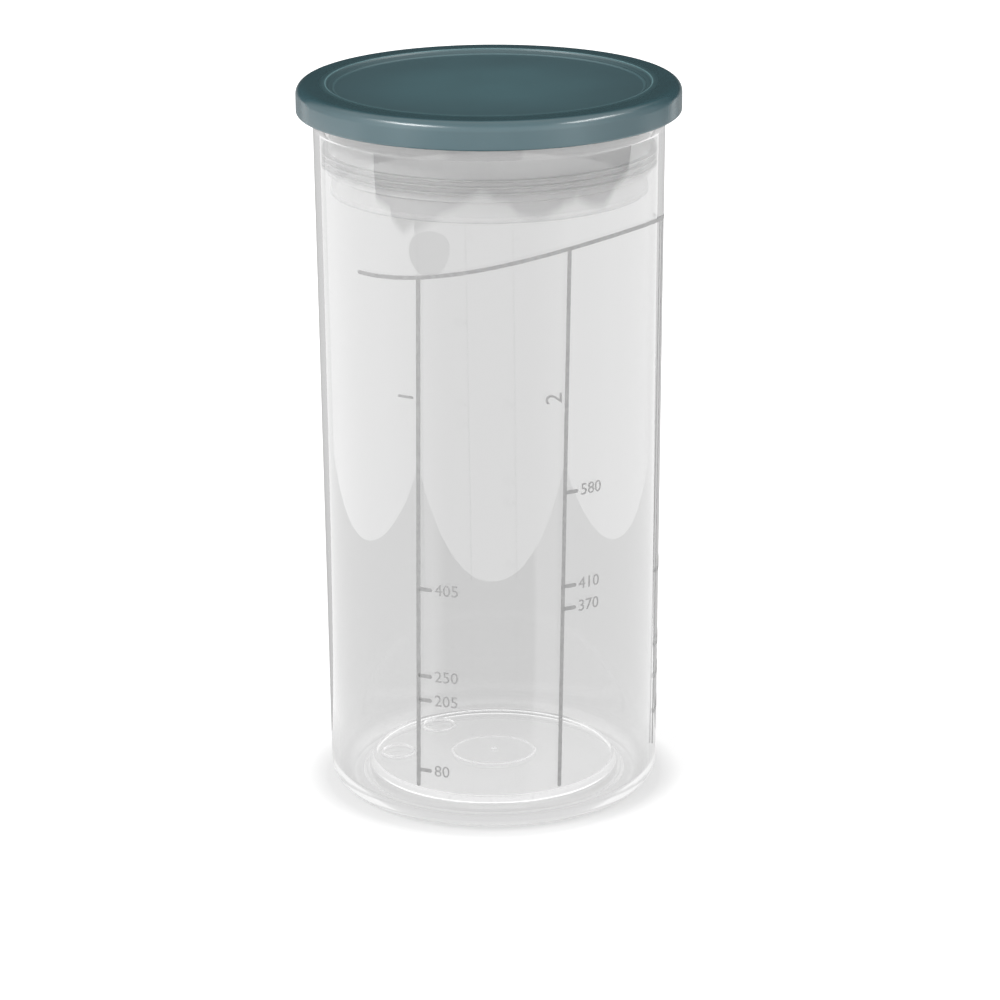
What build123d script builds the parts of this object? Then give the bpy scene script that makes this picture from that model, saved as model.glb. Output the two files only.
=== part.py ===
from build123d import *
import math
import os

# Dressing shaker: a clear beaker, a push-on cap and the lamella insert that seals it.
# Millimetres. Z is the axis of the beaker, and the table that it stands on is z = 0.

# Beaker
beaker_height = 195.6
body_top_radius = 47.6
body_taper = 1.7
wall = 1.8
lip_height = 6.9
flare_height = 3.8
lip_flare = 1.7
foot_bevel = 3.4
foot_floor = 2.6
foot_ring_width = 4.0
panel_slope = 2.8
panel_rise = 3.2
panel_floor = 2.2
gate_radius = 11.8
gate_depth = 0.3

# Cap
cap_plate = 1.85
cap_rim_rise = 1.35
cap_bevel = 1.75
skirt_wall = 2.0
skirt_depth = 4.3
recess_slope = 2.1
locator_wall = 1.4
locator_depth = 4.5

# Lamella insert
flange_thickness = 1.2
insert_depth = 24.5
pilot_wall = 1.4
lamella_count = 3
lamella_level = 12.6
lamella_pitch = 1.75
lamella_reach = 2.0
lamella_lift = 0.4
step_level = 18.4
pilot_inset = 0.5

# Clearances between pieces
skirt_clearance = 0.8
flange_clearance = 0.3
lamella_clearance = 0.2
locator_clearance = 0.15
stacking_clearance = 1.8

# Rounding where a bevel meets its neighbour, as a share of the bevel
shoulder_share = 1.6

# Levels and radii that several pieces share
lip_start = beaker_height - lip_height
lip_radius = body_top_radius + lip_flare
body_foot_radius = body_top_radius - body_taper
foot_rounding = foot_bevel * shoulder_share
bevel_turn = math.radians(45)
foot_flat_radius = body_foot_radius - foot_bevel - foot_rounding * math.tan(bevel_turn / 2)
cap_underside = beaker_height + flange_thickness
cap_radius = lip_radius + skirt_clearance + skirt_wall
lowest_lamella = beaker_height - lamella_level - (lamella_count - 1) * lamella_pitch


def body_radius(height):
    """Outside radius of the tapered body at a height over the table."""
    return body_foot_radius + body_taper * height / lip_start


tip_radius = body_radius(lowest_lamella) - wall - lamella_clearance
collar_radius = tip_radius - lamella_reach
pilot_radius = collar_radius - pilot_inset
insert_bore = pilot_radius - pilot_wall


def turned(corners):
    """Solid of revolution about Z from corners given as (radius, height, rounding)."""
    points = [(radius, height) for radius, height, rounding in corners]
    roundings = [rounding for radius, height, rounding in corners]
    with BuildPart() as solid:
        with BuildSketch(Plane.XZ):
            with BuildLine():
                FilletPolyline(*points, radius=roundings, close=True)
            make_face()
        revolve(axis=Axis.Z)
    return solid.part


def beaker_outside():
    """Bevelled foot, tapered body and flared lip, from the foot up."""
    return [
        (body_foot_radius - foot_bevel, 0, foot_rounding),
        (body_radius(foot_bevel), foot_bevel, foot_rounding),
        (body_top_radius, lip_start, 0),
        (lip_radius, lip_start + flare_height, 0),
        (lip_radius, beaker_height, 0),
    ]


def beaker_inside():
    """Mouth with its lead-in, and bore, down to the bevelled corner of the floor."""
    return [
        (lip_radius - wall, beaker_height, 0),
        (body_top_radius - wall, lip_start, 0),
        (body_radius(foot_floor + foot_bevel) - wall, foot_floor + foot_bevel, 0),
        (body_foot_radius - wall - foot_bevel, foot_floor, 0),
    ]


def beaker_floor():
    """Channel round the foot, raised panel, and the gate well under its centre."""
    panel_edge = foot_flat_radius - foot_ring_width
    panel_radius = panel_edge - panel_slope
    panel_top = foot_floor + panel_rise
    panel_under = panel_top - panel_floor
    return [
        (panel_edge, foot_floor, 0),
        (panel_radius, panel_top, 0),
        (0, panel_top, 0),
        (0, panel_under + gate_depth, 0),
        (gate_radius, panel_under + gate_depth, 0),
        (gate_radius, panel_under, 0),
        (panel_radius, panel_under, 0),
        (panel_edge, 0, 0),
    ]


def beaker():
    return turned(beaker_outside() + beaker_inside() + beaker_floor())


def cap_top():
    """Recess that the foot of another beaker stands in, and the raised rim round it."""
    plate_top = cap_underside + cap_plate
    rim_top = plate_top + cap_rim_rise
    recess_floor_radius = foot_flat_radius + stacking_clearance
    return [
        (0, plate_top, 0),
        (recess_floor_radius, plate_top, 0),
        (recess_floor_radius + recess_slope, rim_top, 0),
        (cap_radius - cap_bevel, rim_top, cap_bevel * shoulder_share),
        (cap_radius, rim_top - cap_bevel, 0),
    ]


def cap_skirt():
    """Skirt that hangs round the beaker's lip."""
    skirt_end = cap_underside - skirt_depth
    return [
        (cap_radius, skirt_end, 0),
        (cap_radius - skirt_wall, skirt_end, 0),
        (cap_radius - skirt_wall, cap_underside, 0),
    ]


def cap_locator():
    """Ring under the plate that the insert is pushed over."""
    outer = insert_bore - locator_clearance
    inner = outer - locator_wall
    return [
        (outer, cap_underside, 0),
        (outer, cap_underside - locator_depth, 0),
        (inner, cap_underside - locator_depth, 0),
        (inner, cap_underside, 0),
        (0, cap_underside, 0),
    ]


def lid_cap():
    return turned(cap_top() + cap_skirt() + cap_locator())


def insert_flange():
    """Flange that lies between the cap's plate and the beaker's rim."""
    flange_radius = lip_radius - flange_clearance
    return [
        (insert_bore, cap_underside, 0),
        (flange_radius, cap_underside, 0),
        (flange_radius, beaker_height, 0),
        (collar_radius, beaker_height, 0),
    ]


def insert_lamella(index):
    """One fin: flat above, so that it grips, and sloping below, so that it slips in."""
    tip_level = beaker_height - lamella_level - index * lamella_pitch
    return [
        (collar_radius, tip_level - lamella_lift, 0),
        (tip_radius, tip_level, 0),
    ]


def insert_pilot():
    """Smooth sleeve under the lamellae that leads the insert into the mouth."""
    end = beaker_height - insert_depth
    return [
        (pilot_radius, beaker_height - step_level, 0),
        (pilot_radius, end, 0),
        (insert_bore, end, 0),
    ]


def sealing_insert():
    corners = insert_flange()
    for index in range(lamella_count):
        corners += insert_lamella(index)
    return turned(corners + insert_pilot())


os.makedirs("parts", exist_ok=True)
export_step(beaker(), "parts/beaker.step")
export_step(lid_cap(), "parts/lid_cap.step")
export_step(sealing_insert(), "parts/sealing_insert.step")
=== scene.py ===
import math

import bmesh
import bpy
from mathutils import Matrix, Vector


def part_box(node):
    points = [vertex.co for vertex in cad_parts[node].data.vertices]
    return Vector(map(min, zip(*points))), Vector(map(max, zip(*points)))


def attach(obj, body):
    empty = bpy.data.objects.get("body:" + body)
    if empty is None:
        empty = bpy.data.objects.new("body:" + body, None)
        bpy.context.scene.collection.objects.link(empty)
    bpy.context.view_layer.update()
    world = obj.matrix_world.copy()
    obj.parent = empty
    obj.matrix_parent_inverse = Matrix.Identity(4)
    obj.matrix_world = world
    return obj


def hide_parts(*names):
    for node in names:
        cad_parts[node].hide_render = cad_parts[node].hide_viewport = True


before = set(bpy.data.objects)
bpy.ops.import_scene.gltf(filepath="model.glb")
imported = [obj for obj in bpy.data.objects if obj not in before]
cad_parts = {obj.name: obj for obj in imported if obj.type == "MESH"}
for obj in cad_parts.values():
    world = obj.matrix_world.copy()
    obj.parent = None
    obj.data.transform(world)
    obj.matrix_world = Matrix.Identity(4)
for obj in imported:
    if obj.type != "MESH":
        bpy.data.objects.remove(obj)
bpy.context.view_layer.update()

# Lengths below are in millimetres unless a comment says otherwise. MM turns them into metres, and
# a length under TINY counts as none.
MM = 0.001
TINY = 1e-6

# What the frame says about the three solids
beaker_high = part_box("beaker")[1] / MM
cap_low, cap_high = (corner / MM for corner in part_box("lid_cap"))
insert_low, insert_high = (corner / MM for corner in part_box("sealing_insert"))
RIM_LEVEL = beaker_high.z
LIP_RADIUS = beaker_high.x
CAP_RADIUS = cap_high.x
CAP_TOP = cap_high.z
SKIRT_END = cap_low.z
CAP_UNDERSIDE = insert_high.z
FLANGE_RADIUS = insert_high.x
INSERT_END = insert_low.z

# Roundings of moulded edges, where a piece has none of its own
SHARP, FINE, SMALL, SOFT, FULL = 0.1, 0.2, 0.3, 0.4, 0.5

# Beaker
WALL = 1.8
LIP_HEIGHT = 6.9
FLARE_HEIGHT = 3.8
LIP_FLARE = 1.7
BODY_TAPER = 1.7
LIP_START = RIM_LEVEL - LIP_HEIGHT
FLARE_END = LIP_START + FLARE_HEIGHT
TOP_RADIUS = LIP_RADIUS - LIP_FLARE
FOOT_RADIUS = TOP_RADIUS - BODY_TAPER
INSIDE_DROP = 0.4
FOOT_ROUNDING = 6.2
FLARE_ROUNDING = 2.0
RIM_OUTSIDE_ROUNDING, RIM_INSIDE_ROUNDING = 0.8, 0.6
BORE_ROUNDING = 2.2

# Floor of the beaker
FLOOR = 2.6
PANEL_EDGE = 36.3
PANEL_RADIUS = 34.0
PANEL_TOP = 6.5
PANEL_WALL = 2.2
DOME = 0.5
CHANNEL_ROUNDING, PANEL_ROUNDING = 2.0, 1.3
UNDER_PANEL_ROUNDING, UNDER_EDGE_ROUNDING = 2.0, 1.6

# Gate in the middle of the floor: a well underneath, and a low disc with a dot on top
GATE_RADIUS = 11.8
WELL_DEPTH = 0.3
WELL_START, WELL_END = GATE_RADIUS - 0.3, GATE_RADIUS - 0.6
DISC_START, DISC_END = GATE_RADIUS + 0.3, GATE_RADIUS - 0.2
DISC_RISE = 0.2
DOT_START, DOT_END = 0.9, 0.5
DOT_RISE = 0.3

# Rings on the floor panel, with their centres as (x, y)
MOULD_RINGS = ((-16.0, 19.0), (-27.0, -1.0))
MOULD_RING_RADIUS = 4.6
MOULD_RING_HALF_WIDTH = 0.45
MOULD_RING_LIFT, MOULD_RING_DEPTH, MOULD_RING_RISE = 0.35, 0.25, 0.3
MOULD_RING_FOOT_ROUNDING = 0.15
MOULD_RING_SEGMENTS = 96

# Cap
PLATE_TOP = CAP_TOP - 1.35
RECESS_FLOOR_RADIUS = 41.95
RECESS_EDGE_RADIUS = 44.05
CAP_ROUNDING = 2.7
SKIRT_WALL = 2.0
SKIRT_TIP_ROUNDING = 0.35
RIM_DROP = 0.05

# Bead round the recess, as (place from RECESS_EDGE_RADIUS, drop from CAP_TOP, rounding)
EDGE_BEAD = ((0.7, RIM_DROP, 0.3), (0.4, 0, 0.25), (-0.1, 0, 0.25), (-0.4, 0.5, 0.2))

# Step at the foot of the recess, as (place from RECESS_FLOOR_RADIUS, rise from PLATE_TOP, rounding)
FLOOR_STEP = ((0.7, 0.35, 0.3), (0.3, 0.4, 0.2), (-0.3, 0, 0.3))

# Insert, and the ring of the cap that carries it
TIP_RADIUS = 45.5
COLLAR_RADIUS = 43.5
PILOT_RADIUS = 43.0
INSERT_BORE = 41.6
FIN_LEVELS = (183.0, 181.25, 179.5)
FIN_TIP = 0.45
FIN_ROOT = 0.85
FIN_ROOT_DROP = 0.5
FIN_TIP_ROUNDING = 0.18
FLANGE_ROUNDING = 0.35
STEP_LEVEL = 177.1
STEP_HEIGHT, STEP_REACH = 0.5, 0.6
END_BEAD = 0.2
END_BEAD_TOP, END_BEAD_NECK = 1.1, 1.6
LOCATOR_OUTER = INSERT_BORE - 0.15
LOCATOR_WALL = 1.4
LOCATOR_END = CAP_UNDERSIDE - 4.5

# Fineness of turned pieces, round the axis and along an arc
SEGMENTS = 256
ARC_STEP = math.radians(9)


def body_radius(height):
    """Outside radius of the tapered body at a height over the table."""
    return FOOT_RADIUS + (TOP_RADIUS - FOOT_RADIUS) * height / LIP_START


# Turned pieces


def rounded(corners):
    """Spans of a closed outline from corners (radius, height, rounding).

    Each span is (start, end, normal at start, normal at end), with the normals pointing outwards
    when the corners run anticlockwise.
    """
    points = [Vector(corner[:2]) for corner in corners]
    count = len(points)
    starts, ends, arcs = [], [], []
    for i in range(count):
        before, point, after = points[i - 1], points[i], points[(i + 1) % count]
        back, ahead = (before - point).normalized(), (after - point).normalized()
        turn = math.pi - back.angle(ahead)
        reach = corners[i][2] * math.tan(turn / 2)
        starts.append(point + back * reach)
        ends.append(point + ahead * reach)
        arcs.append(arc_spans(starts[i], ends[i], point, corners[i][2]))
    spans = []
    for i in range(count):
        spans += arcs[i]
        following = (i + 1) % count
        if (starts[following] - ends[i]).length > TINY:
            normal = right_of(starts[following] - ends[i])
            spans.append((ends[i], starts[following], normal, normal))
    return spans


def right_of(direction):
    """Direction of length 1, a quarter turn to the right."""
    direction = direction.normalized()
    return Vector((direction.y, -direction.x))


def arc_spans(start, end, corner, radius):
    """Spans of the arc that touches both sides of a corner."""
    if radius <= 0 or (end - start).length < TINY:
        return []
    inward = ((start + end) / 2 - corner).normalized()
    half_chord = (end - start).length / 2
    height = math.sqrt(max((start - corner).length ** 2 - half_chord ** 2, 0))
    centre = corner + inward * (height + math.sqrt(max(radius ** 2 - half_chord ** 2, 0)))
    first, last = (start - centre).normalized(), (end - centre).normalized()
    steps = max(2, math.ceil(first.angle(last) / ARC_STEP))
    side = 1 if first.dot(right_of(corner - start)) > 0 else -1
    spokes = [first.slerp(last, k / steps) for k in range(steps + 1)]
    pairs = zip(spokes, spokes[1:])
    return [(centre + a * radius, centre + b * radius, a * side, b * side) for a, b in pairs]


def lathe(name, corners, segments=SEGMENTS):
    """Mesh object turned from an outline of corners (radius, height, rounding), with exact normals."""
    mesh = bmesh.new()
    rings = {}
    face_normals = []

    def ring(point):
        """Vertices round the axis at a point of the outline. Spans that meet there share them."""
        key = (round(point.x, 5), round(point.y, 5))
        if key not in rings:
            radius, height = point.x * MM, point.y * MM
            if point.x < TINY:
                rings[key] = [mesh.verts.new((0, 0, height))] * segments
            else:
                angles = [2 * math.pi * k / segments for k in range(segments)]
                places = [(radius * math.cos(a), radius * math.sin(a), height) for a in angles]
                rings[key] = [mesh.verts.new(place) for place in places]
        return rings[key]

    for start, end, normal_start, normal_end in rounded(corners):
        if start.x < TINY and end.x < TINY:
            continue
        low, high = ring(start), ring(end)
        for k in range(segments):
            following = (k + 1) % segments
            quad = [(low[k], k, normal_start), (low[following], k + 1, normal_start)]
            quad += [(high[following], k + 1, normal_end), (high[k], k, normal_end)]
            # A span that ends on the axis gives triangles, because two corners are one there
            used = []
            for corner in quad:
                if corner[0] not in [u[0] for u in used]:
                    used.append(corner)
            mesh.faces.new([u[0] for u in used])
            face_normals += [around(u[1], u[2], segments) for u in used]
    piece = new_piece(name, mesh)
    piece.data.shade_smooth()
    piece.data.normals_split_custom_set(face_normals)
    return piece


def around(index, normal, segments):
    """Normal of the outline, turned about the axis to a segment."""
    angle = 2 * math.pi * index / segments
    return Vector((normal.x * math.cos(angle), normal.x * math.sin(angle), normal.y))


def new_piece(name, mesh):
    """Object in the scene that takes over a bmesh."""
    data = bpy.data.meshes.new(name)
    mesh.to_mesh(data)
    mesh.free()
    piece = bpy.data.objects.new(name, data)
    bpy.context.scene.collection.objects.link(piece)
    return piece


def make_beaker():
    """Gate well, foot, tapered body, flared lip, bore, and stepped floor with its dome and gate disc."""
    panel_under = PANEL_TOP - PANEL_WALL
    disc_top = PANEL_TOP + DOME + DISC_RISE
    return lathe("beaker_shell", [
        (0, panel_under + DOME + WELL_DEPTH, 0),
        (WELL_END, panel_under + DOME + WELL_DEPTH, SHARP),
        (WELL_START, panel_under + DOME, SHARP),
        (PANEL_RADIUS, panel_under, UNDER_PANEL_ROUNDING),
        (PANEL_EDGE, 0, UNDER_EDGE_ROUNDING),
        (FOOT_RADIUS, 0, FOOT_ROUNDING),
        (TOP_RADIUS, LIP_START, FULL),
        (LIP_RADIUS, FLARE_END, FLARE_ROUNDING),
        (LIP_RADIUS, RIM_LEVEL, RIM_OUTSIDE_ROUNDING),
        (LIP_RADIUS - WALL, RIM_LEVEL, RIM_INSIDE_ROUNDING),
        (LIP_RADIUS - WALL, FLARE_END - INSIDE_DROP, SMALL),
        (TOP_RADIUS - WALL, LIP_START - INSIDE_DROP, BORE_ROUNDING),
        (FOOT_RADIUS - WALL, FLOOR, FOOT_ROUNDING - WALL),
        (PANEL_EDGE, FLOOR, CHANNEL_ROUNDING),
        (PANEL_RADIUS, PANEL_TOP, PANEL_ROUNDING),
        (DISC_START, PANEL_TOP + DOME, SMALL),
        (DISC_END, disc_top, SMALL),
        (DOT_START, disc_top, SMALL),
        (DOT_END, disc_top + DOT_RISE, FINE),
        (0, disc_top + DOT_RISE, 0),
    ])


def make_mould_rings():
    """Two plain raised rings that the mould leaves on the floor panel."""
    inside = MOULD_RING_RADIUS - MOULD_RING_HALF_WIDTH
    outside = MOULD_RING_RADIUS + MOULD_RING_HALF_WIDTH
    pieces = []
    for number, (x, y) in enumerate(MOULD_RINGS, 1):
        level = PANEL_TOP + DOME * (1 - math.hypot(x, y) / PANEL_RADIUS) + MOULD_RING_LIFT
        ring = lathe(f"mould_ring_{number}", [
            (inside, level - MOULD_RING_DEPTH, MOULD_RING_FOOT_ROUNDING),
            (outside, level - MOULD_RING_DEPTH, MOULD_RING_FOOT_ROUNDING),
            (outside, level + MOULD_RING_RISE, SMALL),
            (inside, level + MOULD_RING_RISE, SMALL),
        ], MOULD_RING_SEGMENTS)
        ring.data.transform(Matrix.Translation((x * MM, y * MM, 0)))
        pieces.append(ring)
    return pieces


def make_cap():
    """Locating ring, skirt, rounded rim, and recessed top with the bead and step at its edges."""
    bead = [(RECESS_EDGE_RADIUS + out, CAP_TOP - drop, rounding) for out, drop, rounding in EDGE_BEAD]
    step = [(RECESS_FLOOR_RADIUS + out, PLATE_TOP + rise, rounding) for out, rise, rounding in FLOOR_STEP]
    return lathe("cap", [
        (0, CAP_UNDERSIDE, 0),
        (LOCATOR_OUTER - LOCATOR_WALL, CAP_UNDERSIDE, SOFT),
        (LOCATOR_OUTER - LOCATOR_WALL, LOCATOR_END, SOFT),
        (LOCATOR_OUTER, LOCATOR_END, FULL),
        (LOCATOR_OUTER, CAP_UNDERSIDE, 0),
        (CAP_RADIUS - SKIRT_WALL, CAP_UNDERSIDE, FULL),
        (CAP_RADIUS - SKIRT_WALL, SKIRT_END, SKIRT_TIP_ROUNDING),
        (CAP_RADIUS, SKIRT_END, FULL),
        (CAP_RADIUS, CAP_TOP - RIM_DROP, CAP_ROUNDING),
        *bead,
        *step,
        (0, PLATE_TOP, 0),
    ])


def make_insert():
    """Bore, pilot with the bead at its end, step, three fins, collar and flange."""
    corners = [
        (INSERT_BORE, INSERT_END, SOFT),
        (PILOT_RADIUS + END_BEAD, INSERT_END, FULL),
        (PILOT_RADIUS + END_BEAD, INSERT_END + END_BEAD_TOP, SOFT),
        (PILOT_RADIUS - END_BEAD, INSERT_END + END_BEAD_NECK, SMALL),
        (PILOT_RADIUS, STEP_LEVEL - STEP_HEIGHT, SMALL),
        (COLLAR_RADIUS + STEP_REACH, STEP_LEVEL, FINE),
    ]
    for level in reversed(FIN_LEVELS):
        corners += [
            (COLLAR_RADIUS, level - FIN_ROOT_DROP - FIN_ROOT / 2, FINE),
            (TIP_RADIUS, level - FIN_TIP / 2, FIN_TIP_ROUNDING),
            (TIP_RADIUS, level + FIN_TIP / 2, FIN_TIP_ROUNDING),
            (COLLAR_RADIUS, level - FIN_ROOT_DROP + FIN_ROOT / 2, FINE),
        ]
    corners += [
        (COLLAR_RADIUS, RIM_LEVEL, FULL),
        (FLANGE_RADIUS, RIM_LEVEL, FLANGE_ROUNDING),
        (FLANGE_RADIUS, CAP_UNDERSIDE, FINE),
        (INSERT_BORE, CAP_UNDERSIDE, 0),
    ]
    return lathe("lamella_insert", corners)


# Print on the wall. Flat shapes are drawn in (along, up), where along is the way round the wall at
# PRINT_RADIUS, and are then wrapped round the body. Azimuths are in degrees, 0 at the front and
# positive to the right.

PRINT_RADIUS = 46.7
INK_LIFT = 0.02
INK_THICKNESS = 0.06
FACET = 0.6
END_FACETS = 6

# Columns, as (azimuth, height that it is given at, line width, heights of the ticks). A column turns
# by TWIST degrees for each millimetre that it climbs, so it meets the wave about COLUMN_LEAN degrees
# further round.
COLUMNS = (
    (-24.9, 87.0, 1.2, (70.0, 45.0, 38.0, 17.4)),
    (24.6, 89.0, 1.1, (97.0, 70.4, 64.0)),
    (77.6, 89.0, 1.1, (63.3, 41.4, 32.2, 21.7)),
)
COLUMN_START = 13.0
COLUMN_STEPS = 60
TWIST = 0.0216
COLUMN_LEAN = 1.5
TICK_LENGTH, TICK_WIDTH, TICK_STEPS = 3.5, 1.1, 6

# Wave, which is a stretch of a cosine, lowest at WAVE_TROUGH and highest WAVE_HALF degrees from it
WAVE_FIRST, WAVE_LAST = -47.0, 96.0
WAVE_LEVEL, WAVE_SWING, WAVE_TROUGH, WAVE_HALF = 160.6, 5.1, -46.0, 98.0
WAVE_WIDTH, WAVE_STEPS = 1.05, 240

# Numerals: millilitres beside the ticks, and the numbers of the columns that have one
VOLUMES = (("405", "250", "205", "80"), ("580", "410", "370"), ("365", "230", "170", "105"))
NUMBER_SIZE, NUMBER_GAP = 4.6, 1.2
TITLED = (1, 2)
TITLE_SIZE, TITLE_OFFSET, TITLE_LEVEL = 6.6, 4.2, 122.0
NUMERAL_RESOLUTION = 3


def along(azimuth):
    """Place along the print for an azimuth."""
    return math.radians(azimuth) * PRINT_RADIUS


def column_azimuth(column, height):
    """Azimuth of a column's line at a height."""
    return column[0] + TWIST * (height - column[1])


def wave_height(azimuth):
    """Height of the middle of the wave's line."""
    return WAVE_LEVEL - WAVE_SWING * math.cos(math.pi * (azimuth - WAVE_TROUGH) / WAVE_HALF)


def wrapped(point, lift):
    """Place in the frame, in metres, of a point of the print."""
    angle = point.x / PRINT_RADIUS
    radius = body_radius(point.y) + lift
    return Vector((radius * math.sin(angle), -radius * math.cos(angle), point.y)) * MM


def stroke(mesh, points, width):
    """Strip of ink along points, with round ends."""
    left, right = [], []
    for i, point in enumerate(points):
        ahead = points[min(i + 1, len(points) - 1)] - points[max(i - 1, 0)]
        side = Vector((-ahead.y, ahead.x)).normalized() * width / 2
        left.append(mesh.verts.new((*(point + side), 0)))
        right.append(mesh.verts.new((*(point - side), 0)))
    for i in range(len(points) - 1):
        mesh.faces.new((right[i], right[i + 1], left[i + 1], left[i]))
    round_end(mesh, points[-1], right[-1], left[-1], points[-1] - points[-2], width / 2)
    round_end(mesh, points[0], left[0], right[0], points[0] - points[1], width / 2)


def round_end(mesh, centre, first, last, outward, radius):
    """Half disc that closes a strip."""
    base = math.atan2(outward.y, outward.x) - math.pi / 2
    turns = [base + math.pi * k / END_FACETS for k in range(1, END_FACETS)]
    places = [(centre.x + radius * math.cos(t), centre.y + radius * math.sin(t), 0) for t in turns]
    mesh.faces.new([first, *(mesh.verts.new(place) for place in places), last])


def wrap(name, mesh):
    """Cut a flat drawing into narrow facets, wrap it round the wall and give the ink its thickness."""
    low = min(v.co.x for v in mesh.verts)
    high = max(v.co.x for v in mesh.verts)
    for k in range(1, int((high - low) / FACET) + 1):
        geometry = mesh.verts[:] + mesh.edges[:] + mesh.faces[:]
        bmesh.ops.bisect_plane(mesh, geom=geometry, plane_co=(low + k * FACET, 0, 0), plane_no=(1, 0, 0))
    made = bmesh.ops.extrude_face_region(mesh, geom=mesh.faces[:], use_keep_orig=True)
    inner = {part for part in made["geom"] if isinstance(part, bmesh.types.BMVert)}
    for vert in mesh.verts:
        lift = INK_LIFT if vert in inner else INK_LIFT + INK_THICKNESS
        vert.co = wrapped(vert.co, lift)
    bmesh.ops.recalc_face_normals(mesh, faces=mesh.faces)
    return new_piece(name, mesh)


def flat_text(body, size, place, quarter_turns=0):
    """Flat mesh of a line of numerals, centred up and down on the place that it starts from."""
    curve = bpy.data.curves.new("numerals", "FONT")
    curve.body = body
    curve.size = size
    curve.resolution_u = NUMERAL_RESOLUTION
    curve.align_y = "CENTER"
    holder = bpy.data.objects.new("numerals", curve)
    flat = bpy.data.meshes.new_from_object(holder)
    rotation = Matrix.Rotation(quarter_turns * math.pi / 2, 4, "Z")
    flat.transform(Matrix.Translation((place.x, place.y, 0)) @ rotation)
    bpy.data.objects.remove(holder)
    bpy.data.curves.remove(curve)
    return flat


def make_lines():
    """Three column lines with their ticks, and the wave that they hang from."""
    pieces = []
    for number, column in enumerate(COLUMNS, 1):
        mesh = bmesh.new()
        climb = wave_height(column[0] + COLUMN_LEAN) - WAVE_WIDTH / 2 - COLUMN_START
        heights = [COLUMN_START + climb * k / COLUMN_STEPS for k in range(COLUMN_STEPS + 1)]
        stroke(mesh, [Vector((along(column_azimuth(column, h)), h)) for h in heights], column[2])
        for height in column[3]:
            start = along(column_azimuth(column, height))
            places = [start + TICK_LENGTH * k / TICK_STEPS for k in range(TICK_STEPS + 1)]
            stroke(mesh, [Vector((place, height)) for place in places], TICK_WIDTH)
        pieces.append(wrap(f"print_column_{number}", mesh))
    mesh = bmesh.new()
    azimuths = [WAVE_FIRST + (WAVE_LAST - WAVE_FIRST) * k / WAVE_STEPS for k in range(WAVE_STEPS + 1)]
    stroke(mesh, [Vector((along(a), wave_height(a))) for a in azimuths], WAVE_WIDTH)
    pieces.append(wrap("print_wave", mesh))
    return pieces


def make_numbers():
    """Plain volumes beside the ticks, and left of the titled columns their number, a quarter turned."""
    pieces = []
    for number, (column, volumes) in enumerate(zip(COLUMNS, VOLUMES), 1):
        mesh = bmesh.new()
        for height, volume in zip(column[3], volumes):
            x = along(column_azimuth(column, height)) + TICK_LENGTH + NUMBER_GAP
            mesh.from_mesh(flat_text(volume, NUMBER_SIZE, Vector((x, height))))
        if number in TITLED:
            place = Vector((along(column_azimuth(column, TITLE_LEVEL) - TITLE_OFFSET), TITLE_LEVEL))
            mesh.from_mesh(flat_text(str(number), TITLE_SIZE, place, quarter_turns=1))
        pieces.append(wrap(f"print_numbers_{number}", mesh))
    return pieces


# Parts of materials


def new_material(name):
    """Empty material, with its nodes, its links and the socket of its surface."""
    material = bpy.data.materials.new(name)
    material.use_nodes = True
    nodes = material.node_tree.nodes
    nodes.clear()
    surface = nodes.new("ShaderNodeOutputMaterial").inputs["Surface"]
    return material, nodes, material.node_tree.links, surface


def feed(links, socket, value):
    """Give a socket a number, or the output of another node."""
    if isinstance(value, bpy.types.NodeSocket):
        links.new(value, socket)
    else:
        socket.default_value = value


def maths(nodes, links, operation, first, second):
    """Result of an operation on two values."""
    node = nodes.new("ShaderNodeMath")
    node.operation = operation
    feed(links, node.inputs[0], first)
    feed(links, node.inputs[1], second)
    return node.outputs[0]


def run_between(nodes, links, source, start, end, low, high):
    """Value that runs from low to high while its source goes from start to end."""
    run = nodes.new("ShaderNodeMapRange")
    for socket, value in zip(run.inputs[1:5], (start, end, low, high)):
        socket.default_value = value
    links.new(source, run.inputs[0])
    return run.outputs[0]


def coordinate(nodes, links, kind, axis):
    """One coordinate of the object's own place, or of the sky's direction."""
    split = nodes.new("ShaderNodeSeparateXYZ")
    links.new(nodes.new("ShaderNodeTexCoord").outputs[kind], split.inputs[0])
    return split.outputs[axis]


def from_axis(nodes, links, start, end, low, high):
    """Value that runs from low to high between two distances in metres from the object's axis."""
    coords = nodes.new("ShaderNodeTexCoord")
    flat = nodes.new("ShaderNodeVectorMath")
    flat.operation = "MULTIPLY"
    flat.inputs[1].default_value = (1, 1, 0)
    distance = nodes.new("ShaderNodeVectorMath")
    distance.operation = "LENGTH"
    links.new(coords.outputs["Object"], flat.inputs[0])
    links.new(flat.outputs[0], distance.inputs[0])
    return run_between(nodes, links, distance.outputs["Value"], start, end, low, high)


def noise(nodes, links, scale, detail):
    """Noise in the object's own coordinates, with its scale to the metre."""
    cloud = nodes.new("ShaderNodeTexNoise")
    cloud.inputs["Scale"].default_value = scale
    cloud.inputs["Detail"].default_value = detail
    links.new(nodes.new("ShaderNodeTexCoord").outputs["Object"], cloud.inputs["Vector"])
    return cloud.outputs["Fac"]


def roughen(nodes, links, shader, scale, detail, strength, depth):
    """Bump from noise, with its depth in metres."""
    bump = nodes.new("ShaderNodeBump")
    bump.inputs["Strength"].default_value = strength
    bump.inputs["Distance"].default_value = depth
    links.new(noise(nodes, links, scale, detail), bump.inputs["Height"])
    links.new(bump.outputs["Normal"], shader.inputs["Normal"])


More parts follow.
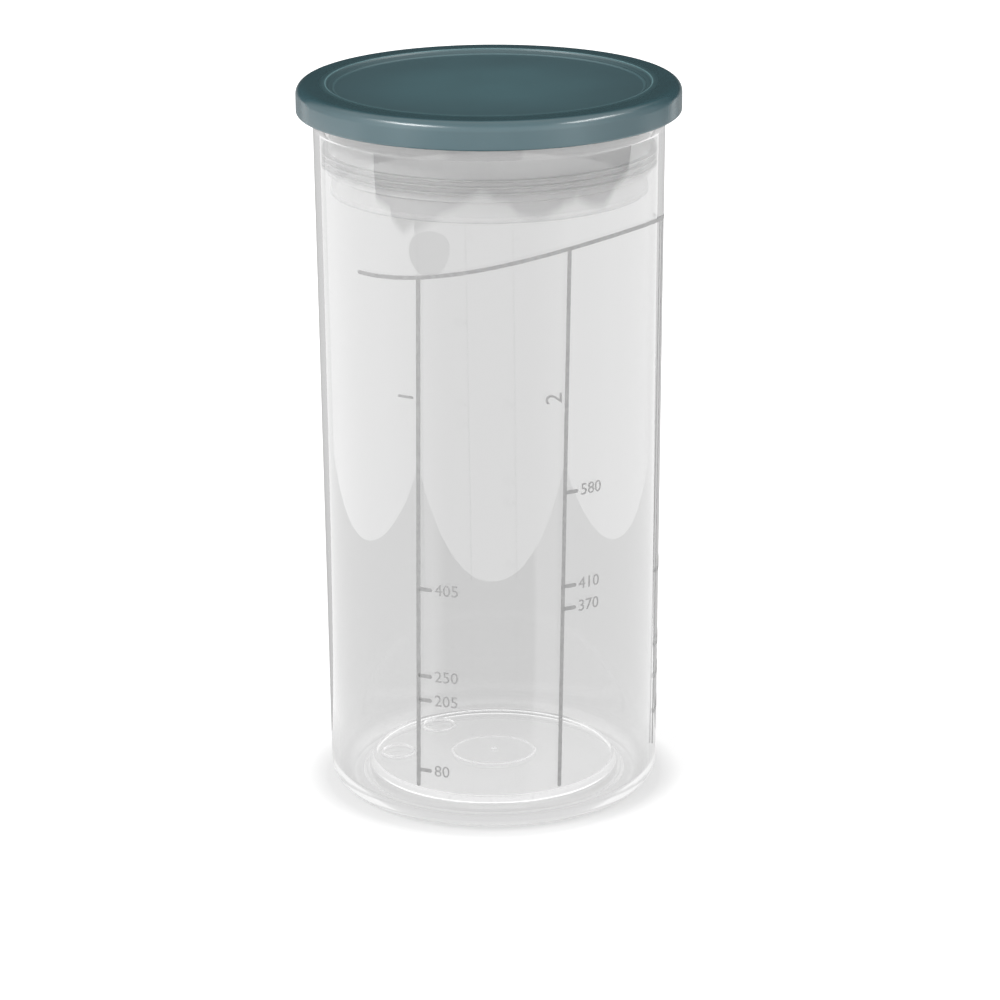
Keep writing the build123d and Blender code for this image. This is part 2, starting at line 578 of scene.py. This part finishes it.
def ramp(nodes, links, source, stops):
    """Colour between stops, which are (position from 0 to 1, colour)."""
    node = nodes.new("ShaderNodeValToRGB")
    elements = node.color_ramp.elements
    while len(elements) < len(stops):
        elements.new(0.5)
    for element, (position, colour) in zip(elements, stops):
        element.position = position
        element.color = (*colour, 1)
    links.new(source, node.inputs["Fac"])
    return node.outputs["Color"]


def principled(nodes, values):
    """Principled shader with values by the names of its sockets."""
    shader = nodes.new("ShaderNodeBsdfPrincipled")
    for name, value in values.items():
        shader.inputs[name].default_value = value
    return shader


def emission(nodes, links, level):
    """White emission of a level."""
    glow = nodes.new("ShaderNodeEmission")
    feed(links, glow.inputs["Strength"], level)
    return glow.outputs[0]


def mixed(nodes, links, share, first, second):
    """First shader where the share is 0, and second where it is 1."""
    mix = nodes.new("ShaderNodeMixShader")
    links.new(share, mix.inputs["Fac"])
    links.new(first, mix.inputs[1])
    links.new(second, mix.inputs[2])
    return mix.outputs[0]


def by_ray(nodes, links, level, **levels):
    """Level for a kind of ray, where a later kind overrules an earlier one."""
    path = nodes.new("ShaderNodeLightPath")
    for kind, value in levels.items():
        mix = nodes.new("ShaderNodeMix")
        mix.data_type = "FLOAT"
        feed(links, mix.inputs[2], level)
        feed(links, mix.inputs[3], value)
        links.new(path.outputs[kind.replace("_", " ")], mix.inputs[0])
        level = mix.outputs[0]
    return level


# Materials of the object. Bumps are (noise scale, detail, strength, depth in metres).

CLEAR = {"Base Color": (0.93, 0.93, 0.93, 1), "Transmission Weight": 1, "IOR": 1.57, "Roughness": 0.02}
CLEAR_BUMP = (28, 2, 0.06, 0.0004)
SHADE_THROUGH = (0.84, 0.84, 0.84, 1)

# Levels that stand in for light gathered by many reflections in the wall, as (height, level), and
# the number of reflections that they start after
GATHERED_LEVELS = ((4, 1.0), (9, 0.8), (20, 0.67), (50, 0.7), (120, 0.86))
GATHERED_DEPTH = 2.5

# Colours of the cap, as (distance from the axis, colour). Over its teal they hold painted light: the
# middle of the recess is lighter as a painted reflection, the two edges of the recess have light lines as
# painted highlights with slightly darker lines beside them as painted shade, and the side is lighter as
# painted light.
CAP_TEAL_AND_PAINTED_LIGHT = (
    (0, (0.040, 0.096, 0.109)), (18, (0.038, 0.091, 0.104)), (35, (0.028, 0.069, 0.08)),
    (41.65, (0.026, 0.064, 0.074)), (41.85, (0.058, 0.126, 0.14)), (42.1, (0.025, 0.062, 0.071)),
    (43.8, (0.023, 0.058, 0.067)), (44.05, (0.15, 0.29, 0.31)), (44.3, (0.03, 0.073, 0.083)),
    (50.5, (0.03, 0.075, 0.087)), (52.1, (0.033, 0.082, 0.098)),
)
CAP_SPAN = 60

# Roughness of the cap: matt out to the recess's edge, and satin from CAP_BLEND outside it
CAP_MATT, CAP_SATIN, CAP_BLEND = 0.44, 0.23, 2
CAP_BUMP = (2600, 3, 0.14, 0.00008)
CAP_CLOUD_SCALE, CAP_CLOUD_DETAIL = 60, 4
CAP_CLOUD_START, CAP_CLOUD_END, CAP_DIM, CAP_BRIGHT = 0.3, 0.7, 0.95, 1.05

# Elastomer, which changes from sleeve to fin between two distances from the axis. The fins' darker grey
# is painted shade, for the shade under them.
ELASTOMER = {"Roughness": 0.4, "IOR": 1.42}
ELASTOMER_BUMP = (700, 2, 0.1, 0.0001)
SLEEVE_GREY, FIN_SHADED_GREY = 0.75, 0.56
GREY_START, GREY_END = COLLAR_RADIUS + 0.3, TIP_RADIUS - 0.3
SLEEVE_ALPHA, FIN_ALPHA = 0.41, 0.7
ALPHA_START, ALPHA_END = COLLAR_RADIUS + 0.1, TIP_RADIUS - 0.6

INK_ROUGHNESS = 0.6
INK_SPECKLE_SCALE, INK_SPECKLE_DETAIL = 900, 2
INK_STOPS = ((0.35, (0.29, 0.29, 0.29)), (0.65, (0.34, 0.34, 0.34)))


def clear_plastic():
    """Clear wall with a faint ripple.

    Shadow rays and diffuse rays go straight through it, a little dimmed. A ray with many glossy
    reflections behind it ends in a level for its height.
    """
    material, nodes, links, surface = new_material("clear_plastic")
    glass = principled(nodes, CLEAR)
    roughen(nodes, links, glass, *CLEAR_BUMP)
    see_through = nodes.new("ShaderNodeBsdfTransparent")
    see_through.inputs["Color"].default_value = SHADE_THROUGH
    path = nodes.new("ShaderNodeLightPath")
    shadow, diffuse = path.outputs["Is Shadow Ray"], path.outputs["Is Diffuse Ray"]
    straight = maths(nodes, links, "MAXIMUM", shadow, diffuse)
    wall = mixed(nodes, links, straight, glass.outputs[0], see_through.outputs[0])
    deep = maths(nodes, links, "GREATER_THAN", path.outputs["Glossy Depth"], GATHERED_DEPTH)
    height = coordinate(nodes, links, "Object", "Z")
    share = run_between(nodes, links, height, 0, RIM_LEVEL * MM, 0, 1)
    stops = [(level / RIM_LEVEL, (strength, strength, strength)) for level, strength in GATHERED_LEVELS]
    gathered = emission(nodes, links, ramp(nodes, links, share, stops))
    links.new(mixed(nodes, links, deep, wall, gathered), surface)
    return material


def cap_plastic():
    """Matt recess and smoother rim, in a teal with painted light: the light lines of the two edges
    between them are painted highlights, and the middle and the side are painted lighter.
    """
    material, nodes, links, surface = new_material("cap_plastic")
    shader = principled(nodes, {"IOR": 1.6})
    satin_start = RECESS_EDGE_RADIUS + CAP_BLEND
    roughness = from_axis(nodes, links, RECESS_EDGE_RADIUS * MM, satin_start * MM, CAP_MATT, CAP_SATIN)
    links.new(roughness, shader.inputs["Roughness"])
    share = from_axis(nodes, links, 0, CAP_SPAN * MM, 0, 1)
    # Teal by distance from the axis, with painted highlights on the recess's edges and a painted lighter
    # middle and side
    teal_and_painted_light = ramp(nodes, links, share, [(radius / CAP_SPAN, colour) for radius, colour in CAP_TEAL_AND_PAINTED_LIGHT])
    cloud = noise(nodes, links, CAP_CLOUD_SCALE, CAP_CLOUD_DETAIL)
    shade = run_between(nodes, links, cloud, CAP_CLOUD_START, CAP_CLOUD_END, CAP_DIM, CAP_BRIGHT)
    clouded = nodes.new("ShaderNodeVectorMath")
    clouded.operation = "SCALE"
    links.new(teal_and_painted_light, clouded.inputs[0])
    links.new(shade, clouded.inputs["Scale"])
    links.new(clouded.outputs[0], shader.inputs["Base Color"])
    roughen(nodes, links, shader, *CAP_BUMP)
    links.new(shader.outputs[0], surface)
    return material


def seal_elastomer():
    """Milky sleeve, with denser fins that are painted darker as painted shade."""
    material, nodes, links, surface = new_material("seal_elastomer")
    shader = principled(nodes, ELASTOMER)
    # Grey of the sleeve, going darker on the fins as painted shade
    grey = from_axis(nodes, links, GREY_START * MM, GREY_END * MM, SLEEVE_GREY, FIN_SHADED_GREY)
    tone = nodes.new("ShaderNodeCombineColor")
    for socket in tone.inputs[:3]:
        links.new(grey, socket)
    links.new(tone.outputs[0], shader.inputs["Base Color"])
    alpha = from_axis(nodes, links, ALPHA_START * MM, ALPHA_END * MM, SLEEVE_ALPHA, FIN_ALPHA)
    links.new(alpha, shader.inputs["Alpha"])
    roughen(nodes, links, shader, *ELASTOMER_BUMP)
    links.new(shader.outputs[0], surface)
    return material


def grey_ink():
    """Matt ink with a fine speckle."""
    material, nodes, links, surface = new_material("grey_ink")
    shader = principled(nodes, {"Roughness": INK_ROUGHNESS})
    speckle = noise(nodes, links, INK_SPECKLE_SCALE, INK_SPECKLE_DETAIL)
    links.new(ramp(nodes, links, speckle, INK_STOPS), shader.inputs["Base Color"])
    links.new(shader.outputs[0], surface)
    return material


# Studio, in metres. Levels are radiances, where 1 is white.

FLOOR_HALF = 4.0
FLOOR_COLOUR = 0.72
WHITE = 1.0

# What the camera adds to the floor, by distance from the object's axis. It is less near the object, so
# that the real shadow shows, and lowest in a ring round the foot, which paints a shadow there on top of
# the real one.
GLOW_PAINTED_SHADOW, GLOW_NEAR, GLOW_FAR = 0.24, 0.45, 1.0
CONTACT_START, CONTACT_END = 0.047, 0.054
GLOW_START, GLOW_END = 0.08, 0.5

# What the object shows of the floor, through it and in its gloss
SEEN_THROUGH = 0.72
SEEN_CLOSE, SEEN_IN_GLOSS = 0.75, 1.4
CLOSE_START, CLOSE_END = 0.056, 0.085

# Sky. Its level through the object goes by the height of the direction, and its level in gloss by
# how far the direction points to the back.
SKY_LIGHT = 0.32
SKY_THROUGH, ZENITH_THROUGH = 0.87, 1.8
ZENITH_START, ZENITH_END = 0.3, 0.6
SKY_IN_GLOSS, SKY_BEHIND = 1.5, 0.05
BEHIND_START, BEHIND_END = 0.45, 0.75

# Cards. Edges are (place along the card, height), and levels (place along the card, level).
FRONT_CARD, SIDE_CARD = 0.243, 0.262
FRONT_EDGE = (
    (-0.262, 0.083), (-0.25, 0.0853), (-0.191, 0.0985), (-0.1345, 0.1106), (-0.084, 0.1194),
    (-0.054, 0.1237), (-0.0206, 0.1284), (-0.001, 0.1272), (0.0136, 0.1252), (0.046, 0.123),
    (0.0753, 0.1174), (0.141, 0.1088), (0.194, 0.1025), (0.235, 0.0967), (0.262, 0.093),
)
LEFT_EDGE = (
    (-0.243, 0.086), (-0.188, 0.0915), (-0.1413, 0.1022), (-0.134, 0.1061), (-0.0802, 0.1141),
    (-0.075, 0.125),
)
RIGHT_EDGE = (
    (-0.243, 0.0925), (-0.186, 0.1034), (-0.147, 0.1066), (-0.107, 0.1094), (-0.076, 0.1114),
    (-0.057, 0.1145), (-0.034, 0.1187), (0.02, 0.1233), (0.033, 0.1296),
)
SIDE_END = 0.21
FRONT_LEVELS = ((-0.262, 2.9), (-0.12, 2.15), (0.1, 2.15), (0.262, 2.8))
LEFT_LEVELS = ((-0.243, 3.0), (-0.1, 3.3), (0.03, 2.9), (0.13, 2.4), (0.21, 1.8))
RIGHT_LEVELS = ((-0.243, 3.0), (-0.05, 2.9), (0.03, 2.5), (0.13, 2.0), (0.21, 1.4))
FRONT_UPPER = ((-0.262, 3.3), (-0.12, 2.3), (0.1, 2.3), (0.262, 3.0))
LEFT_UPPER = ((-0.243, 3.3), (-0.1, 2.3), (0.06, 1.2), (0.14, 0.9), (0.21, 0.5))
RIGHT_UPPER = ((-0.243, 3.0), (-0.1, 1.8), (0.06, 0.8), (0.14, 0.2), (0.21, 0.1))
BAND_LEVEL, BAND_TOP_LEVEL = 0.15, 1.1
EDGE_SOFTNESS = 0.004
CARD_STEP = 0.012

# Edge between what the wall and the cap's side reflect: its height in the middle, its fall with
# distance, and the height over which the levels fade there
PARTING, PARTING_FALL, PARTING_FADE = 0.198, 0.237, 0.005
UPPER_TOP = 0.4

# Dim spot in front of the left corner, with its half width and half height
SPOT_CENTRE = (-0.109, -0.155, 0.1238)
SPOT_AZIMUTH = -40
SPOT_SIZE = (0.042, 0.0072)
SPOT_LEVEL = 0.85
SPOT_CORNERS = 40

# Dark mat on the floor in front, as (x, y), with its middle two places darker than its ends
MAT_LIFT = 0.0004
BLOCK_FAR = ((-0.19, -0.243), (-0.135, -0.243), (0.112, -0.243), (0.13, -0.243))
BLOCK_MIDDLE = ((-0.11, -0.15), (-0.078, -0.15), (0.065, -0.15), (0.076, -0.15))
BLOCK_NEAR = ((-0.045, -0.06), (-0.02, -0.06), (0.012, -0.06), (0.03, -0.06))
BLOCK_LEVEL, BLOCK_FADED = 0.25, 1.2

# Dim mat on the floor behind, and the card at its end
BACK_NEAR, BACK_FAR = ((-0.055, 0.03), (0.055, 0.03)), ((-0.36, 0.45), (0.36, 0.45))
BACK_CARD, BACK_EDGE = 0.45, ((-0.36, 0.19), (0.36, 0.19))
BACK_LEVEL = 0.45

# Lamps. Keys are (name, azimuth, elevation, watts), and fills (name, azimuth), in degrees. Sizes
# are (width, height).
LAMP_TARGET = Vector((0, 0, 0.1))
KEYS = (("key_left", -54, 42, 11.5), ("key_right", 77, 46, 7.5))
KEY_DISTANCE, KEY_SIZE = 1.4, (0.8, 0.18)
FILLS = (("fill_left", -50), ("fill_right", 50))
FILL_ELEVATION, FILL_DISTANCE, FILL_SIZE, FILL_WATTS = 8, 1.7, (1.1, 0.6), 8.5

# Camera, with its angles in degrees
CAMERA_PLACE = (0.002258, -1.003896, 0.409367)
CAMERA_DOWN, CAMERA_ROLL = 18.102, -0.392
LENS, SENSOR_WIDTH = 136.35, 36
CLIP_START, CLIP_END = 0.05, 20


def camera_glow(nodes, links):
    """What the camera adds to the floor: enough for white, less near the object for its shadow, and least
    round its foot as a painted shadow.
    """
    near = from_axis(nodes, links, CONTACT_START, CONTACT_END, GLOW_PAINTED_SHADOW, GLOW_NEAR)
    far = from_axis(nodes, links, GLOW_START, GLOW_END, 0, GLOW_FAR - GLOW_NEAR)
    looked_at = nodes.new("ShaderNodeLightPath").outputs["Is Camera Ray"]
    return maths(nodes, links, "MULTIPLY", maths(nodes, links, "ADD", near, far), looked_at)


def floor_material():
    """Matt floor that keeps the shadow, has a painted shadow round the object's foot, and is otherwise
    white where it is looked at.
    """
    material, nodes, links, surface = new_material("floor")
    matt = nodes.new("ShaderNodeBsdfDiffuse")
    matt.inputs["Color"].default_value = (FLOOR_COLOUR, FLOOR_COLOUR, FLOOR_COLOUR, 1)
    looked_at = nodes.new("ShaderNodeAddShader")
    links.new(matt.outputs[0], looked_at.inputs[0])
    links.new(emission(nodes, links, camera_glow(nodes, links)), looked_at.inputs[1])
    in_gloss = from_axis(nodes, links, CLOSE_START, CLOSE_END, SEEN_CLOSE, SEEN_IN_GLOSS)
    level = by_ray(nodes, links, 0, Is_Glossy_Ray=in_gloss, Is_Transmission_Ray=SEEN_THROUGH)
    in_object = by_ray(nodes, links, 0, Is_Glossy_Ray=1, Is_Transmission_Ray=1, Is_Camera_Ray=0)
    seen = emission(nodes, links, level)
    links.new(mixed(nodes, links, in_object, looked_at.outputs[0], seen), surface)
    return material


def glowing(name, level):
    """Material with one level all over."""
    material, nodes, links, surface = new_material(name)
    links.new(emission(nodes, links, level), surface)
    return material


def glowing_by_level(name):
    """Material that takes its level from the corners of the mesh."""
    material, nodes, links, surface = new_material(name)
    level = nodes.new("ShaderNodeAttribute")
    level.attribute_name = "level"
    links.new(emission(nodes, links, level.outputs["Fac"]), surface)
    return material


def stage_piece(name, corners, faces, material):
    """Floor or card from its corners in metres."""
    data = bpy.data.meshes.new(name)
    data.from_pydata([tuple(corner) for corner in corners], [], faces)
    data.materials.append(material)
    piece = bpy.data.objects.new(name, data)
    bpy.context.scene.collection.objects.link(piece)
    return piece


def reflected_only(piece):
    """Show a card in the gloss of the object and nowhere else."""
    piece.visible_camera = piece.visible_diffuse = piece.visible_shadow = False
    piece.visible_transmission = piece.visible_volume_scatter = False


def level_at(levels, place):
    """Level between the places that a card's levels are given for."""
    for (start, low), (end, high) in zip(levels, levels[1:]):
        if place <= end:
            return low + (high - low) * max(0, (place - start) / (end - start))
    return levels[-1][1]


def strip(name, turn, low, high, low_levels, high_levels):
    """Card between two edges, which are given as places in the scene's frame by turn."""
    count = len(low)
    faces = [(i, i + 1, count + i + 1, count + i) for i in range(count - 1)]
    corners = [turn(*corner) for corner in (*low, *high)]
    piece = stage_piece(name, corners, faces, glowing_by_level(name))
    levels = piece.data.attributes.new("level", "FLOAT", "POINT")
    levels.data.foreach_set("value", [*low_levels, *high_levels])
    reflected_only(piece)


def finely(edge):
    """Edge with more places between its corners."""
    fine = [edge[0]]
    for start, end in zip(edge, edge[1:]):
        count = max(1, round((end[0] - start[0]) / CARD_STEP))
        fine += [tuple(a + (b - a) * k / count for a, b in zip(start, end)) for k in range(1, count + 1)]
    return fine


def lifted(edge, rise):
    """The same edge, higher up."""
    return [(place, height + rise) for place, height in edge]


def level_edge(edge, height):
    """Straight edge at one height, with the places of another edge."""
    return [(place, height) for place, _ in edge]


def parting(edge, distance):
    """Edge between what the wall reflects and what the cap's side reflects, over another edge."""
    return [(place, PARTING - PARTING_FALL * math.hypot(place, distance)) for place, _ in edge]


def lit_card(name, turn, distance, edge, levels):
    """Bright card from the floor to an edge, and over it a band that it fades into, pale at its top."""
    bright = [level_at(levels, place) for place, _ in edge]
    dark = [BAND_LEVEL] * len(edge)
    pale = [BAND_TOP_LEVEL] * len(edge)
    shoulder = lifted(edge, EDGE_SOFTNESS)
    strip(f"card_{name}", turn, level_edge(edge, 0), edge, bright, bright)
    strip(f"fade_{name}", turn, edge, shoulder, bright, dark)
    strip(f"band_{name}", turn, shoulder, parting(edge, distance), dark, pale)
    return pale


def upper(name, turn, distance, edge, low_levels, levels):
    """Card over the parting, with a fade from the levels under it."""
    start = parting(edge, distance)
    end = lifted(start, PARTING_FADE)
    bright = [level_at(levels, place) for place, _ in edge]
    strip(f"fade_{name}_upper", turn, start, end, low_levels, bright)
    strip(f"card_{name}_upper", turn, end, level_edge(edge, UPPER_TOP), bright, bright)


def side_end(name, turn, start, levels, upper_levels):
    """Back part of a side card, which has no dark band."""
    edge = finely(((start, 0), (SIDE_END, 0)))
    bright = [level_at(levels, place) for place, _ in edge]
    strip(f"card_{name}_end", turn, edge, parting(edge, SIDE_CARD), bright, bright)
    upper(f"{name}_end", turn, SIDE_CARD, edge, bright, upper_levels)


# Turns, which give the place in the scene's frame of a corner of a mat or card


def on_floor(x, y):
    return (x, y, MAT_LIFT)


def front(along_card, height):
    return (along_card, -FRONT_CARD, height)


def left(along_card, height):
    return (-SIDE_CARD, along_card, height)


def right(along_card, height):
    return (SIDE_CARD, along_card, height)


def back(along_card, height):
    return (along_card, BACK_CARD, height)


# The studio itself


def make_floor():
    """Square floor under the object."""
    half = FLOOR_HALF
    corners = [(-half, -half, 0), (half, -half, 0), (half, half, 0), (-half, half, 0)]
    stage_piece("floor", corners, [(0, 1, 2, 3)], floor_material())


def make_cards():
    """Bright cards in front and at the sides, in two tiers."""
    edge = finely(FRONT_EDGE)
    pale = lit_card("front", front, FRONT_CARD, edge, FRONT_LEVELS)
    upper("front", front, FRONT_CARD, edge, pale, FRONT_UPPER)
    for name, turn, corners, levels, upper_levels in (
        ("left", left, LEFT_EDGE, LEFT_LEVELS, LEFT_UPPER),
        ("right", right, RIGHT_EDGE, RIGHT_LEVELS, RIGHT_UPPER),
    ):
        edge = finely(corners)
        pale = lit_card(name, turn, SIDE_CARD, edge, levels)
        upper(name, turn, SIDE_CARD, edge, pale, upper_levels)
        side_end(name, turn, corners[-1][0], levels, upper_levels)


def make_spot():
    """Dim round shape in front of the left corner."""
    azimuth = math.radians(SPOT_AZIMUTH)
    x, y, z = SPOT_CENTRE
    corners = []
    for k in range(SPOT_CORNERS):
        turn = 2 * math.pi * k / SPOT_CORNERS
        across, rise = SPOT_SIZE[0] * math.cos(turn), SPOT_SIZE[1] * math.sin(turn)
        corners.append((x + across * math.cos(azimuth), y + across * math.sin(azimuth), z + rise))
    face = tuple(range(SPOT_CORNERS))
    reflected_only(stage_piece("spot", corners, [face], glowing("spot", SPOT_LEVEL)))


def make_mats():
    """Dark mat in front, with soft sides, and the dim mat and card behind."""
    block = [SEEN_IN_GLOSS, BLOCK_LEVEL, BLOCK_LEVEL, SEEN_IN_GLOSS]
    faded = [SEEN_IN_GLOSS, BLOCK_FADED, BLOCK_FADED, SEEN_IN_GLOSS]
    strip("mat_front", on_floor, BLOCK_MIDDLE, BLOCK_FAR, block, block)
    strip("mat_front_fade", on_floor, BLOCK_NEAR, BLOCK_MIDDLE, faded, block)
    dim = [BACK_LEVEL] * 2
    strip("mat_back", on_floor, BACK_NEAR, BACK_FAR, dim, dim)
    strip("card_back", back, level_edge(BACK_EDGE, 0), BACK_EDGE, dim, dim)


def area_light(name, azimuth, elevation, distance, size, watts):
    """Lamp at a direction and distance from its target, which it faces."""
    light = bpy.data.lights.new(name, "AREA")
    light.shape = "RECTANGLE"
    light.size, light.size_y = size
    light.energy = watts
    lamp = bpy.data.objects.new(name, light)
    a, e = math.radians(azimuth), math.radians(elevation)
    place = Vector((math.sin(a) * math.cos(e), -math.cos(a) * math.cos(e), math.sin(e))) * distance
    facing = place.to_track_quat("Z", "Y").to_matrix().to_4x4()
    lamp.matrix_world = Matrix.Translation(place + LAMP_TARGET) @ facing
    bpy.context.scene.collection.objects.link(lamp)
    return lamp


def make_lights():
    """Two long keys from above, and two large fills that only light matt surfaces."""
    for name, azimuth, elevation, watts in KEYS:
        key = area_light(name, azimuth, elevation, KEY_DISTANCE, KEY_SIZE, watts)
        key.visible_transmission = False
    for name, azimuth in FILLS:
        fill = area_light(name, azimuth, FILL_ELEVATION, FILL_DISTANCE, FILL_SIZE, FILL_WATTS)
        fill.visible_glossy = fill.visible_transmission = False


def make_world():
    """White to the camera, and a soft studio for the light and the gloss."""
    world = bpy.data.worlds.new("studio")
    bpy.context.scene.world = world
    world.use_nodes = True
    nodes, links = world.node_tree.nodes, world.node_tree.links
    nodes.clear()
    depth, height = (coordinate(nodes, links, "Generated", axis) for axis in ("Y", "Z"))
    in_gloss = run_between(nodes, links, depth, BEHIND_START, BEHIND_END, SKY_IN_GLOSS, SKY_BEHIND)
    through = run_between(nodes, links, height, ZENITH_START, ZENITH_END, SKY_THROUGH, ZENITH_THROUGH)
    levels = {"Is_Glossy_Ray": in_gloss, "Is_Transmission_Ray": through, "Is_Camera_Ray": WHITE}
    sky = nodes.new("ShaderNodeBackground")
    sky.inputs["Color"].default_value = (1, 1, 1, 1)
    links.new(by_ray(nodes, links, SKY_LIGHT, **levels), sky.inputs["Strength"])
    links.new(sky.outputs[0], nodes.new("ShaderNodeOutputWorld").inputs["Surface"])


def make_camera():
    """The photograph's viewpoint: about a metre in front and 18 degrees down."""
    data = bpy.data.cameras.new("camera")
    data.sensor_fit = "HORIZONTAL"
    data.sensor_width = SENSOR_WIDTH
    data.lens = LENS
    data.clip_start, data.clip_end = CLIP_START, CLIP_END
    camera = bpy.data.objects.new("camera", data)
    tilt = Matrix.Rotation(math.radians(90 - CAMERA_DOWN), 4, "X")
    roll = Matrix.Rotation(math.radians(CAMERA_ROLL), 4, "Z")
    camera.matrix_world = Matrix.Translation(CAMERA_PLACE) @ tilt @ roll
    bpy.context.scene.collection.objects.link(camera)
    bpy.context.scene.camera = camera


def dress(piece, material, body, slot, *nodes):
    """Give a piece its material and body, and hide the nodes that it stands for. The slot is not used."""
    piece.data.materials.clear()
    piece.data.materials.append(material)
    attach(piece, body)
    if nodes:
        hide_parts(*nodes)


make_camera()
make_world()
make_floor()
make_cards()
make_spot()
make_mats()
make_lights()
clear = clear_plastic()
dress(make_beaker(), clear, "bottle", "clear_plastic", "beaker")
for ring in make_mould_rings():
    dress(ring, clear, "bottle", "clear_plastic")
dress(make_cap(), cap_plastic(), "lid", "cap_plastic", "lid_cap")
dress(make_insert(), seal_elastomer(), "lid", "seal_elastomer", "sealing_insert")
ink = grey_ink()
for piece in make_lines() + make_numbers():
    dress(piece, ink, "bottle", "clear_plastic")

bpy.context.scene.view_settings.view_transform = "Standard"
